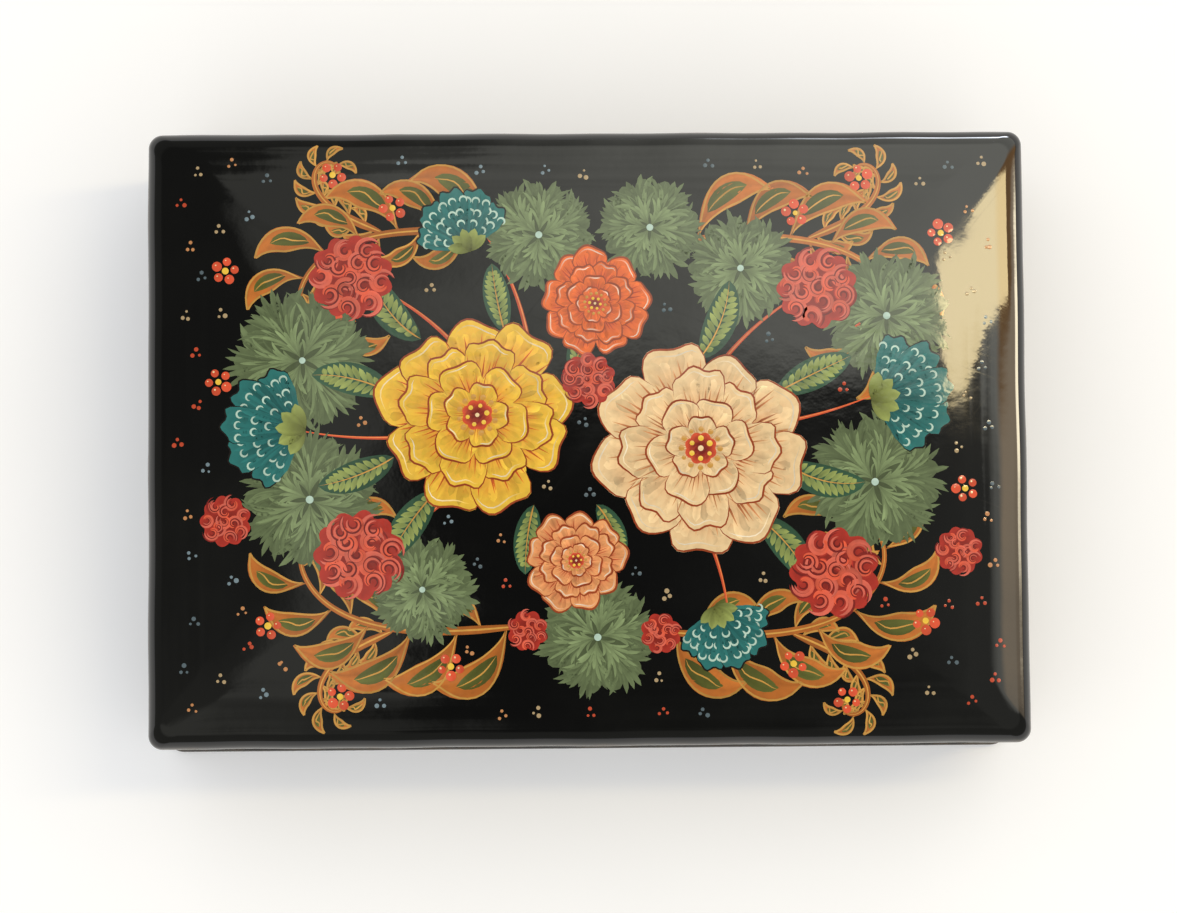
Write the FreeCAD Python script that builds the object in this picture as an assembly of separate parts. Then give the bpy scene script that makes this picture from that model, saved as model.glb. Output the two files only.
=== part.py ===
import FreeCAD, Part
import math
import os

# Hinged box of lacquered papier-mache with a cushion-shaped lid, in millimetres.
# The origin is under the middle of the bottom board: +X runs along the length,
# +Y towards the hinge at the back, and +Z up.

# Plan of the whole box. The lid board and the bottom board share it.
box_length = 127.0
box_width = 89.0
plan_corner_radius = 3.0

# Bottom board, a flat plate that stands out past the walls as a low plinth
bottom_thickness = 2.8
bottom_upper_rounding = 1.1
bottom_lower_bevel = 0.6

# Outer wall, a wound ring, and the lid rim sawn from the same ring
board_overhang = 1.3
wall_thickness = 3.4
wall_height = 17.6
lid_rim_height = 5.2
wall_corner_radius = 2.2

# Inner ring glued inside the wall, whose top stands up as the lip that the lid closes over
lip_thickness = 1.4
lip_projection = 3.0
lip_outer_corner_radius = 1.6
lip_inner_corner_radius = 1.1
lip_rounding = 0.5
lip_clearance = 0.25

# Lid board, pressed to a cushion with four soft hips, its slopes in degrees
lid_edge_height = 1.0
lid_edge_rounding = 3.4
lid_shoulder_slope = 16.0
lid_field_slope = 2.0
lid_border_width = 9.5
lid_crown_width = 15.0
lid_board_thickness = 3.4
lid_underside_bevel = 0.5
lid_recess_ledge = 0.8
hip_softening_share = 0.22
stretch_shares = (0.0, 0.2, 0.4, 0.6, 0.8, 1.0)

# Knuckle hinge along the back: barrels glued into coves, turning on one wire
hinge_length = 73.2
knuckle_radius = 1.8
knuckle_gap = 0.3
barrel_clearance = 0.25
axis_inset = 0.8
bevel_margin = 0.25
pin_radius = 0.55
fixed_bore_clearance = 0.02
running_bore_clearance = 0.06
plug_length = 1.6

# Past each face that a cut runs through, the match used to find an edge at a height,
# and the degree of a loft, whose parabolas follow an even change of slope exactly
overrun = 2.0
height_match = 0.001
loft_degree = 2

body_knuckles = ("body_knuckle_left", "body_knuckle_middle", "body_knuckle_right")
lid_knuckles = ("lid_knuckle_left", "lid_knuckle_right")

# Heights of the joints between the glued pieces
wall_top = bottom_thickness + wall_height
lip_top = wall_top + lip_projection
lid_board_base = wall_top + lid_rim_height

# Plan of the rings
wall_length = box_length - 2 * board_overhang
wall_width = box_width - 2 * board_overhang
lip_length = wall_length - 2 * wall_thickness
lip_width = wall_width - 2 * wall_thickness
inner_length = lip_length - 2 * lip_thickness
inner_width = lip_width - 2 * lip_thickness
rim_opening_length = lip_length + 2 * lip_clearance
rim_opening_width = lip_width + 2 * lip_clearance
rim_opening_corner_radius = lip_outer_corner_radius + lip_clearance

# Hinge axis, parallel to X on the joint line, just inside the back of the wall
wall_back = wall_width / 2
axis_y = wall_back - axis_inset
axis_z = wall_top
hinge_bevel = axis_inset + bevel_margin
knuckle_count = len(body_knuckles) + len(lid_knuckles)
knuckle_length = (hinge_length - (knuckle_count - 1) * knuckle_gap) / knuckle_count
knuckle_pitch = knuckle_length + knuckle_gap

up = FreeCAD.Vector(0, 0, 1)
along = FreeCAD.Vector(1, 0, 0)


def rounded_rectangle(length, width, radius, height):
    """Closed wire of four sides and four corner arcs, centred on the Z axis."""
    x = length / 2 - radius
    y = width / 2 - radius
    quarter = math.pi / 2
    corners = ((x, y), (-x, y), (-x, -y), (x, -y))
    arcs = []
    for turn, (cx, cy) in enumerate(corners):
        circle = Part.Circle(FreeCAD.Vector(cx, cy, height), up, radius)
        arcs.append(Part.ArcOfCircle(circle, turn * quarter, (turn + 1) * quarter))
    edges = []
    for arc, following in zip(arcs, arcs[1:] + arcs[:1]):
        edges.append(arc.toShape())
        edges.append(Part.LineSegment(arc.EndPoint, following.StartPoint).toShape())
    return Part.Wire(edges)


def slab(length, width, radius, bottom, top):
    """Upright plate with rounded corners."""
    outline = rounded_rectangle(length, width, radius, bottom)
    return Part.Face(outline).extrude(up * (top - bottom))


def edges_at(shape, height):
    """The edges that lie all round at one height."""
    return [
        edge
        for edge in shape.Edges
        if abs(edge.BoundBox.ZMin - height) < height_match
        and abs(edge.BoundBox.ZMax - height) < height_match
    ]


def rod(radius, start, length):
    """Round bar on the hinge axis, from x = start."""
    return Part.makeCylinder(radius, length, FreeCAD.Vector(start, axis_y, axis_z), along)


def knuckle_start(place):
    """Left end of the hinge's knuckle number place, counted from 0."""
    return -hinge_length / 2 + place * knuckle_pitch


def rounded_edge():
    """Insets and heights of the lid's top round its edge, a round that ends at the shoulder slope."""
    sweep = math.radians(90 - lid_shoulder_slope)
    return [
        (
            lid_edge_rounding * (1 - math.cos(share * sweep)),
            lid_edge_height + lid_edge_rounding * math.sin(share * sweep),
        )
        for share in stretch_shares
    ]


def flattening(start, width, start_slope, end_slope):
    """Insets and heights along a stretch of the lid's top whose slope changes evenly."""
    inset, height = start
    steep = math.tan(math.radians(start_slope))
    flatter = steep - math.tan(math.radians(end_slope))
    return [
        (inset + share * width, height + width * (steep * share - flatter * share**2 / 2))
        for share in stretch_shares
    ]


def lid_border():
    """The stretch from the shoulder to the field's slope."""
    shoulder = rounded_edge()[-1]
    width = lid_border_width - shoulder[0]
    return flattening(shoulder, width, lid_shoulder_slope, lid_field_slope)


def lid_crown():
    """The stretch from the border's inner end to the level middle."""
    return flattening(lid_border()[-1], lid_crown_width, lid_field_slope, 0)


def cushion(profile, base):
    """Solid under a stretch of the lid's top. Its corners grow rounder inwards, so the hips are soft."""
    sections = []
    for inset, height in profile:
        radius = plan_corner_radius + hip_softening_share * inset
        outline = (box_length - 2 * inset, box_width - 2 * inset, radius)
        sections.append(rounded_rectangle(*outline, base + height))
    return Part.makeLoft(sections, True, False, False, loft_degree)


def bottom_board():
    board = slab(box_length, box_width, plan_corner_radius, 0, bottom_thickness)
    board = board.makeFillet(bottom_upper_rounding, edges_at(board, bottom_thickness))
    return board.makeChamfer(bottom_lower_bevel, edges_at(board, 0))


def hinge_coves(fixed_places, running_places):
    """Round grooves on the hinge axis: close ones for glued barrels, wider ones for turning ones."""
    grooves = [rod(knuckle_radius, knuckle_start(place), knuckle_length) for place in fixed_places]
    for place in running_places:
        start = knuckle_start(place) - knuckle_gap
        length = knuckle_length + 2 * knuckle_gap
        grooves.append(rod(knuckle_radius + barrel_clearance, start, length))
    return grooves


def hinge_bevel_cut(side):
    """Prism that eases the back edge of the joint line, on the wall (side -1) or the rim (side 1)."""
    corner = FreeCAD.Vector(-box_length / 2, wall_back + overrun, wall_top)
    reach = hinge_bevel + overrun
    points = (
        corner + FreeCAD.Vector(0, -reach, 0),
        corner + FreeCAD.Vector(0, 0, -side * overrun),
        corner + FreeCAD.Vector(0, 0, side * reach),
    )
    return Part.Face(Part.makePolygon(points + points[:1])).extrude(along * box_length)


def body_wall():
    outside = slab(wall_length, wall_width, wall_corner_radius, bottom_thickness, wall_top)
    inside = slab(
        lip_length,
        lip_width,
        lip_outer_corner_radius,
        bottom_thickness - overrun,
        wall_top + overrun,
    )
    fixed = range(0, knuckle_count, 2)
    running = range(1, knuckle_count, 2)
    return outside.cut([inside, hinge_bevel_cut(-1)] + hinge_coves(fixed, running))


def inner_lip():
    outside = slab(lip_length, lip_width, lip_outer_corner_radius, bottom_thickness, lip_top)
    inside = slab(
        inner_length,
        inner_width,
        lip_inner_corner_radius,
        bottom_thickness - overrun,
        lip_top + overrun,
    )
    ring = outside.cut(inside)
    return ring.makeFillet(lip_rounding, edges_at(ring, lip_top))


def lid_rim():
    outside = slab(wall_length, wall_width, wall_corner_radius, wall_top, lid_board_base)
    inside = slab(
        rim_opening_length,
        rim_opening_width,
        rim_opening_corner_radius,
        wall_top - overrun,
        lid_board_base + overrun,
    )
    fixed = range(1, knuckle_count, 2)
    running = range(0, knuckle_count, 2)
    return outside.cut([inside, hinge_bevel_cut(1)] + hinge_coves(fixed, running))


def lid_recess():
    """Dished hollow under the lid board, with straight sides, down to the board's thickness."""
    ledge = board_overhang + wall_thickness - lip_clearance + lid_recess_ledge
    depth = lid_border()[-1][1] - lid_board_thickness
    dish = [(ledge, 0), (lid_border_width, depth)]
    return cushion(dish, lid_board_base)


def lid_board():
    edge_top = lid_board_base + lid_edge_height
    edge = slab(box_length, box_width, plan_corner_radius, lid_board_base, edge_top)
    edge = edge.makeChamfer(lid_underside_bevel, edges_at(edge, lid_board_base))
    stretches = (rounded_edge(), lid_border(), lid_crown())
    top = [cushion(profile, lid_board_base) for profile in stretches]
    return edge.fuse(top).cut(lid_recess()).removeSplitter()


def knuckle(place, bore_radius):
    """One barrel of the hinge, bored for the wire."""
    start = knuckle_start(place)
    barrel = rod(knuckle_radius, start, knuckle_length)
    return barrel.cut(rod(bore_radius, start - overrun, knuckle_length + 2 * overrun))


def hinge_pin():
    return rod(pin_radius, -hinge_length / 2 + plug_length, hinge_length - 2 * plug_length)


def pin_plug(start):
    """Mastic stopper that hides an end of the wire."""
    return rod(pin_radius + fixed_bore_clearance, start, plug_length)


def all_parts():
    """Every piece of the box by its name."""
    parts = {
        "bottom_board": bottom_board(),
        "body_wall": body_wall(),
        "inner_lip": inner_lip(),
        "lid_rim": lid_rim(),
        "lid_board": lid_board(),
        "hinge_pin": hinge_pin(),
        "pin_plug_left": pin_plug(-hinge_length / 2),
        "pin_plug_right": pin_plug(hinge_length / 2 - plug_length),
    }
    for order, name in enumerate(body_knuckles):
        parts[name] = knuckle(2 * order, pin_radius + fixed_bore_clearance)
    for order, name in enumerate(lid_knuckles):
        parts[name] = knuckle(2 * order + 1, pin_radius + running_bore_clearance)
    return parts


os.makedirs("parts", exist_ok=True)
for name, shape in all_parts().items():
    shape.exportStep(f"parts/{name}.step")
    print(name, shape.ShapeType, "solids", len(shape.Solids), "volume", round(shape.Volume, 1))
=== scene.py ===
# %% [markdown]
# # A papier-mache lacquer box with a painted cushion lid
#
# The real box is pressed and wound from papier-mache, baked in oil, lacquered black outside and
# red inside, painted on the lid with small brushes, and varnished until it shines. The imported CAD
# solids have its shape and take finishes made of nodes, and only the lid board gets a finer skin.
# What Blender adds is what a brush adds: paint on the lid, and lacquer in the corners.

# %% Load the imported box
from functools import partial

import bpy
import numpy as np
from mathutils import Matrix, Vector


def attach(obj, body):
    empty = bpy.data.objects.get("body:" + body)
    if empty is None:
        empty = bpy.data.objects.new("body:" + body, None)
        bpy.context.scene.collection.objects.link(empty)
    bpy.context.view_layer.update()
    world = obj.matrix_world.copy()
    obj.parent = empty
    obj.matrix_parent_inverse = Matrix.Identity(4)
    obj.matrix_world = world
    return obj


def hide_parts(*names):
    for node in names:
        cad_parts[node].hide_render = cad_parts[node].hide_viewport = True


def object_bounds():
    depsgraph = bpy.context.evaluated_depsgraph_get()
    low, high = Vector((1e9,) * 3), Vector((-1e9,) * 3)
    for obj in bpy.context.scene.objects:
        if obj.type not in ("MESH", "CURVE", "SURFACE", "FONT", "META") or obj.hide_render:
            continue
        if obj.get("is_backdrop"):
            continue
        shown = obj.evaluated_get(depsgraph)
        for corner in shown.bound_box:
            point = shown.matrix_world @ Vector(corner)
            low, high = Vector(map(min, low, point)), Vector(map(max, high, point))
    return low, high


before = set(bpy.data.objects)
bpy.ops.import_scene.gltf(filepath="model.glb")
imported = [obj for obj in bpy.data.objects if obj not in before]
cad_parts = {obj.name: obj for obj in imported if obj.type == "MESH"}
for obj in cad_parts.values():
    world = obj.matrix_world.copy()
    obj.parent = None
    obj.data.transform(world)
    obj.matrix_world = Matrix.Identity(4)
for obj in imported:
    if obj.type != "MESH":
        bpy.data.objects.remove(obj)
cad_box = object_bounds()
MM = 0.001
measured = [round(float(side) / MM, 1) for side in cad_box[1] - cad_box[0]]
print("loaded", len(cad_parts), "solids, the box measures", measured, "mm")

# %% [markdown]
# ## Helpers for objects and node trees
# A finish is a chain of nodes. One helper makes a node, sets what stays the same all over the
# surface on its own sockets, and links what changes.


# %% Object helpers
def put(name, data):
    """A new object of some data, in the scene."""
    made = bpy.data.objects.new(name, data)
    bpy.context.scene.collection.objects.link(made)
    return made


def smooth_mesh(name, points, faces):
    """A smooth-shaded mesh of points in mm and lists of point numbers."""
    mesh = bpy.data.meshes.new(name)
    mesh.from_pydata((points * MM).tolist(), [], faces)
    mesh.polygons.foreach_set("use_smooth", np.ones(len(mesh.polygons), bool))
    return mesh


print("object helpers ready")


# %% Node helpers
def add(tree, kind, inputs=None, **settings):
    """A new shader node of a kind. An input that is a socket is linked, and any other is set."""
    node = tree.nodes.new("ShaderNode" + kind)
    for name, value in settings.items():
        setattr(node, name, value)
    for name, value in (inputs or {}).items():
        if isinstance(value, bpy.types.NodeSocket):
            tree.links.new(value, node.inputs[name])
        else:
            node.inputs[name].default_value = value
    return node


def mix(tree, share, first, second):
    """The first colour where the share is 0 and the second where it is 1."""
    return add(tree, "Mix", {0: share, 6: first, 7: second}, data_type="RGBA").outputs[2]


def carried(operation, tree, first, *others):
    """A math operation on numbers or sockets, carried on from left to right."""
    for other in others:
        first = add(tree, "Math", {0: first, 1: other}, operation=operation).outputs[0]
    return first


plus, minus, times, over, largest, below, above = (
    partial(carried, operation)
    for operation in "ADD SUBTRACT MULTIPLY DIVIDE MAXIMUM LESS_THAN GREATER_THAN".split()
)


def ramp(tree, value, low, high, bottom=0.0, top=1.0):
    """A soft step: bottom where the value is under low, top where it is over high."""
    inputs = {"Value": value, "From Min": low, "From Max": high, "To Min": bottom, "To Max": top}
    return add(tree, "MapRange", inputs, interpolation_type="SMOOTHSTEP").outputs[0]


def noise(tree, where, scale, detail=2.0, roughness=0.5, distortion=0.0):
    """Grey noise, with so many features to the metre as its scale says."""
    inputs = {"Vector": where, "Scale": scale, "Detail": detail}
    inputs |= {"Roughness": roughness, "Distortion": distortion}
    return add(tree, "TexNoise", inputs).outputs["Fac"]


def stretched(tree, where, scales):
    """Coordinates with a scale of their own on each axis."""
    return add(tree, "Mapping", {"Vector": where, "Scale": scales}).outputs[0]


def vectors(tree, operation, *values):
    """The result of one operation on vectors."""
    return add(tree, "VectorMath", dict(enumerate(values)), operation=operation).outputs[0]


def axes(tree, vector):
    """The parts of a vector or colour, by axis."""
    return add(tree, "SeparateXYZ", {0: vector}).outputs


def new_material(name):
    """A material, its node tree, the shader that it starts with, and its Object coordinates."""
    material = bpy.data.materials.new(name)
    material.use_nodes = True
    tree = material.node_tree
    where = add(tree, "TexCoord").outputs["Object"]
    return material, tree, tree.nodes["Principled BSDF"], where


def dress(tree, surface, colour, rough, relief=None, depth=0.0):
    """Links a colour, a roughness and a relief of a depth in metres to a shader."""
    values = {"Base Color": colour, "Roughness": rough}
    if relief is not None:
        values["Normal"] = add(tree, "Bump", {"Height": relief, "Distance": depth}).outputs[0]
    for label, value in values.items():
        tree.links.new(value, surface.inputs[label])


print("node helpers ready")

# %% [markdown]
# ## Camera
# The photograph looks almost straight down from a little over half a metre, as a person does who
# holds a phone over the box. The place and the lens come from a fit to the corners of the lid.

# %% Camera over the lid
lens = bpy.data.cameras.new("over_the_lid")
lens.sensor_width = 36
lens.lens = 116.75
lens.shift_x, lens.shift_y = -0.05, 0.05
lens.clip_start = 0.01
camera = put("over_the_lid", lens)
camera.location = (-0.00837, -0.05082, 0.5763)
camera.rotation_euler = (0.0721, -0.0298, -0.0094)
bpy.context.scene.camera = camera
bpy.context.scene.view_settings.view_transform = "Standard"
print("camera", round(camera.location.z, 3), "m up, lens", lens.lens, "mm")

# %% [markdown]
# ## The room
# Black lacquer shows little but what it mirrors, so the room matters more than the lamp. It is
# drawn by direction: how far a ray leans sideways and backwards for each step up, and how far it
# swings round from the right towards the back. To the left and over the viewer it is dark. At the
# back and to the right a pale ceiling begins with a sharp edge. Low on the right stand a beige wall
# and a bright window, and at the back is a bright gap. Rays that light matt colour meet an even
# dome instead, so every colour shows as it was mixed.

# %% Directions in the room
room = bpy.data.worlds.new("room")
bpy.context.scene.world = room
room.use_nodes = True
room.cycles.sampling_method = "NONE"
tree = room.node_tree
toward = add(tree, "TexCoord").outputs["Generated"]
way = axes(tree, toward)
climb = largest(tree, way["Z"], 0.03)
clouds = {"Vector": toward, "Scale": 9.0, "Detail": 4.0, "Roughness": 0.6}
stray = axes(tree, add(tree, "TexNoise", clouds).outputs["Color"])
leans = []
for axis in "XY":
    stray_by = ramp(tree, stray[axis], 0.3, 0.7, -0.02, 0.02)
    leans.append(plus(tree, over(tree, way[axis], climb), stray_by))
sideways, backwards = leans
lean = plus(tree, times(tree, sideways, sideways), times(tree, backwards, backwards))
leaning = add(tree, "Math", {0: lean}, operation="SQRT").outputs[0]
swing = over(tree, way["Y"], largest(tree, way["X"], 0.03))
print("directions drawn in", len(tree.nodes), "nodes")


# %% Ceiling and walls
def where_all(*steps):
    """The product of soft steps, each given as a ramp's value, low and high."""
    return times(tree, *(ramp(tree, *step) for step in steps))


def turn_to(before, after, *step):
    """One colour or brightness before a soft step and another after it."""
    return mix(tree, ramp(tree, *step), before, after)


dark = ramp(tree, backwards, 0.14, -0.04, 0.15, 0.3)
dark = plus(tree, dark, ramp(tree, backwards, -0.18, -0.32, 0.0, 0.3))
beam = ramp(tree, backwards, -0.28, -0.16, 0.4, 0.72)
over_viewer = ramp(tree, sideways, 0.02, 0.2, 0.1, 0.42)
patch = where_all((backwards, -0.15, -0.06), (sideways, 0.44, 0.56, 0.0, 1.3))
over_viewer = plus(tree, over_viewer, patch)
pale = ramp(tree, sideways, -0.06, 0.16, 1.3, 2.75)
right = turn_to(over_viewer, pale, backwards, 0.085, 0.125)
ceiling = turn_to(dark, beam, sideways, -0.105, -0.075)
ceiling = turn_to(ceiling, right, sideways, -0.045, -0.02)
back_wall = ramp(tree, way["X"], -0.06, 0.13, 0.24, 2.0)
walls = turn_to((0.27, 0.27, 0.27, 1), back_wall, way["Y"], 0.1, 0.4)
around = turn_to(ceiling, walls, leaning, 0.9, 1.3)
around = vectors(tree, "MULTIPLY", around, (1.0, 1.0, 0.9))
print("ceiling and walls drawn in", len(tree.nodes), "nodes")

# %% Beige wall, low window, bright gap and dome
BEIGE, TAN, SKIRTING = (4.3, 3.4, 2.4, 1), (2.4, 1.35, 0.6, 1), (0.5, 0.4, 0.22, 1)
WINDOW, DAYLIGHT, HORIZON = (21.0, 18.5, 13.5, 1), (26.0, 27.5, 30.0, 1), (1.0, 1.0, 1.0, 1)
rightward = where_all((way["X"], 0.5, 0.56), (swing, 0.75, 0.4), (swing, -0.1, 0.16))
beige = turn_to(BEIGE, TAN, swing, 0.165, 0.2)
beige = turn_to(beige, SKIRTING, way["Z"], 0.14, 0.08)
around = mix(tree, rightward, around, beige)
window = where_all((way["Z"], 0.42, 0.36), (way["Z"], 0.08, 0.13), (way["X"], 0.45, 0.5))
window = times(tree, window, where_all((swing, 0.03, 0.105), (swing, 0.165, 0.145)))
around = mix(tree, window, around, WINDOW)
around = turn_to(around, HORIZON, way["Z"], 0.08, 0.03)
gap = where_all((way["Z"], 0.16, 0.1), (way["Z"], -0.12, -0.02))
gap = times(tree, gap, where_all((way["X"], 0.04, 0.16), (way["Y"], 0.85, 0.93)))
around = mix(tree, gap, around, DAYLIGHT)
dome = turn_to((0.88, 0.9, 0.93, 1), (0.98, 0.96, 0.92, 1), way["X"], -1.0, 1.0)
around = mix(tree, add(tree, "LightPath").outputs["Is Diffuse Ray"], around, dome)
backdrop = tree.nodes["Background"]
tree.links.new(around, backdrop.inputs["Color"])
backdrop.inputs["Strength"].default_value = 1.0
print("room drawn in", len(tree.nodes), "nodes")

# %% [markdown]
# ## Floor and lamp
# The box stands on a plain white sheet. One soft warm lamp hangs over its right side, and the right
# slope mirrors it as a cream sheen.

# %% White sheet under the box
HALF_SHEET = 6.0
side = np.linspace(-HALF_SHEET, HALF_SHEET, 3)
x, y = np.meshgrid(side, side, indexing="ij")
points = np.stack([x, y, 0 * x], -1).reshape(-1, 3)
mesh = bpy.data.meshes.new("white_sheet")
mesh.from_pydata(points.tolist(), [], [(0, 3, 4, 1), (1, 4, 5, 2), (3, 6, 7, 4), (4, 7, 8, 5)])
floor = put("white_sheet", mesh)
paper, tree, surface, where = new_material("white_paper")
tree.nodes.remove(surface)
tint = mix(tree, noise(tree, where, 40.0), (0.87, 0.87, 0.87, 1), (0.9, 0.9, 0.9, 1))
ray = add(tree, "LightPath").outputs
seen = largest(tree, *(ray[f"Is {kind} Ray"] for kind in ("Camera", "Glossy", "Transmission")))
glow = add(tree, "Emission", {"Color": (1, 1, 1, 1), "Strength": times(tree, seen, 0.16)})
matt = add(tree, "BsdfDiffuse", {"Color": tint})
both = add(tree, "AddShader", {0: matt.outputs[0], 1: glow.outputs[0]})
tree.links.new(both.outputs[0], tree.nodes["Material Output"].inputs["Surface"])
floor.data.materials.append(paper)
floor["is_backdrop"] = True
print("sheet laid, its half side", HALF_SHEET, "m")

# %% Warm lamp
light = bpy.data.lights.new("warm_lamp", "AREA")
light.shape = "RECTANGLE"
light.size, light.size_y = 0.58, 0.057
light.color = (1.0, 0.8, 0.42)
light.energy = 1.66
lamp = put("warm_lamp", light)
lamp.location = (0.483, 0.1585, 0.9)
lamp.rotation_euler = (0, 0, 0.125)
lamp.visible_camera = False
print("lamp", lamp.name, round(light.energy, 2), "W")

# %% [markdown]
# ## What the finishes share
# Lacquer that was rubbed down by hand is never quite flat, and it carries hairline scratches, dust
# under the varnish and worn edges. Each of these is a node group that a finish places with its own
# values. All read Object coordinates, so a wave runs on from the black into the paint.

# %% Plan and group helpers
# The plan that both boards share, how far it stands out past the wall, and the height where the
# wall and the lid rim were sawn apart, in mm
LENGTH, WIDTH, OVERHANG, JOINT_LINE = 127.0, 89.0, 1.3, 20.4


def group(name, inputs):
    """An empty node group: its tree, the place that it gets, and all its inputs. Apart from the
    place, each is a number with its start value, or a vector where that is None."""
    tree = bpy.data.node_groups.new(name, "ShaderNodeTree")
    for label, start in {"Place": None, **inputs}.items():
        kind = "NodeSocketVector" if start is None else "NodeSocketFloat"
        socket = tree.interface.new_socket(label, in_out="INPUT", socket_type=kind)
        if start is not None:
            socket.default_value = start
    given = tree.nodes.new("NodeGroupInput").outputs
    return tree, given["Place"], given


def give(tree, **values):
    """Makes a group's outputs, each with its value."""
    for label in values:
        tree.interface.new_socket(label, in_out="OUTPUT", socket_type="NodeSocketFloat")
    ends = tree.nodes.new("NodeGroupOutput").inputs
    for label, value in values.items():
        tree.links.new(value, ends[label])
    print("group", tree.name, len(tree.nodes), "nodes")


def past_block(tree, where, middle, half):
    """How far a place is past a block of a middle and a half size, by axis."""
    spot = vectors(tree, "ABSOLUTE", vectors(tree, "SUBTRACT", where, middle))
    return axes(tree, vectors(tree, "SUBTRACT", spot, half))


def place(tree, name, where, inputs=None):
    """One use of a group in a material, with its own values."""
    inputs = {"Place": where, **(inputs or {})}
    return add(tree, "Group", inputs, node_tree=bpy.data.node_groups[name]).outputs


print("group helpers ready")

# %% Waves of rubbed lacquer
tree, where, given = group("rubbed_waves", {"Board": 1.0, "Brush": 1.0})
board = times(tree, noise(tree, where, 45.0, roughness=0.45), given["Board"])
brush = times(tree, noise(tree, where, 360.0, 3.0), given["Brush"])
give(tree, Height=plus(tree, board, brush))

# %% Hairline scratches
tree, where, given = group("hairlines", {"Amount": 0.5})
lines = []
for turn, stretch in ((0.35, 26.0), (-0.9, 34.0), (1.45, 30.0)):
    laid = add(tree, "VectorRotate", {"Vector": where, "Angle": turn}, rotation_type="Z_AXIS")
    laid = stretched(tree, laid.outputs[0], (stretch, 1500.0, 60.0))
    lines.append(ramp(tree, noise(tree, laid, 1.0, 1.0, distortion=0.3), 0.69, 0.75))
patches = ramp(tree, noise(tree, where, 60.0), 0.45, 0.62)
give(tree, Hairlines=times(tree, largest(tree, *lines), patches, given["Amount"]))

# %% Dust under the varnish
CELLS = 330.0
tree, where, given = group("dust", {"Speck Size": 0.00009})
cells = add(tree, "TexVoronoi", {"Vector": where, "Scale": CELLS}).outputs
near = over(tree, cells["Distance"], CELLS)
chosen = axes(tree, cells["Color"])["X"]
speck = times(tree, below(tree, near, given["Speck Size"]), above(tree, chosen, 0.93))
film = noise(tree, where, 28.0, 5.0, 0.6)
give(tree, Specks=speck, Haze=ramp(tree, film, 0.42, 0.72))

# %% Worn edges of the two boards
# Wear grows with how near a point is to the plan's outline, which both boards share.
tree, where, given = group("edge_wear", {"Reach": 0.0002})
past = past_block(tree, where, (0, 0, 0), (LENGTH / 2 * MM, WIDTH / 2 * MM, 0))
nearest = largest(tree, past["X"], past["Y"])
broken = minus(tree, noise(tree, where, 260.0, 4.0), 0.5)
rub = plus(tree, nearest, times(tree, broken, given["Reach"], 3.0))
give(tree, Wear=ramp(tree, over(tree, rub, given["Reach"]), -1.0, 0.2))

# %% Seam between the wall and the lid rim
# Seam is 1 at the joint line, where both rings were sawn apart and their edges eased, and only
# within 0.7 mm of the outside.
tree, where, given = group("lid_seam", {})
wall = ((LENGTH / 2 - OVERHANG) * MM, (WIDTH / 2 - OVERHANG) * MM, 0)
past = past_block(tree, where, (0, 0, JOINT_LINE * MM), wall)
frayed = ramp(tree, noise(tree, where, 500.0, 3.0), 0.35, 0.75, 0.0, 0.00012)
off = minus(tree, past["Z"], frayed)
outside = ramp(tree, largest(tree, past["X"], past["Y"]), -0.0007, -0.0002)
give(tree, Seam=times(tree, ramp(tree, off, 0.00026, 0.0001), outside))

# %% Inside of the box
# Inside is 1 in a block given by its middle and half size, which is how far the red was brushed.
tree, where, given = group("brushed_inside", {"Middle": None, "Half": None})
past = past_block(tree, where, given["Middle"], given["Half"])
furthest = largest(tree, past["X"], past["Y"], past["Z"])
unsure = minus(tree, noise(tree, where, 180.0), 0.5)
edge = plus(tree, furthest, times(tree, unsure, 0.0003))
give(tree, Inside=ramp(tree, edge, 0.00002, -0.00002))

# %% [markdown]
# ## Lacquer, black and red
# The black is soot in oil varnish: almost no colour of its own, a deep gloss, and a brown tinge
# where the edges are rubbed. The red inside is cinnabar in the same varnish, laid with a wider
# brush and polished less. Several solids carry both, so one function makes both and puts the red
# in a block.


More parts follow.
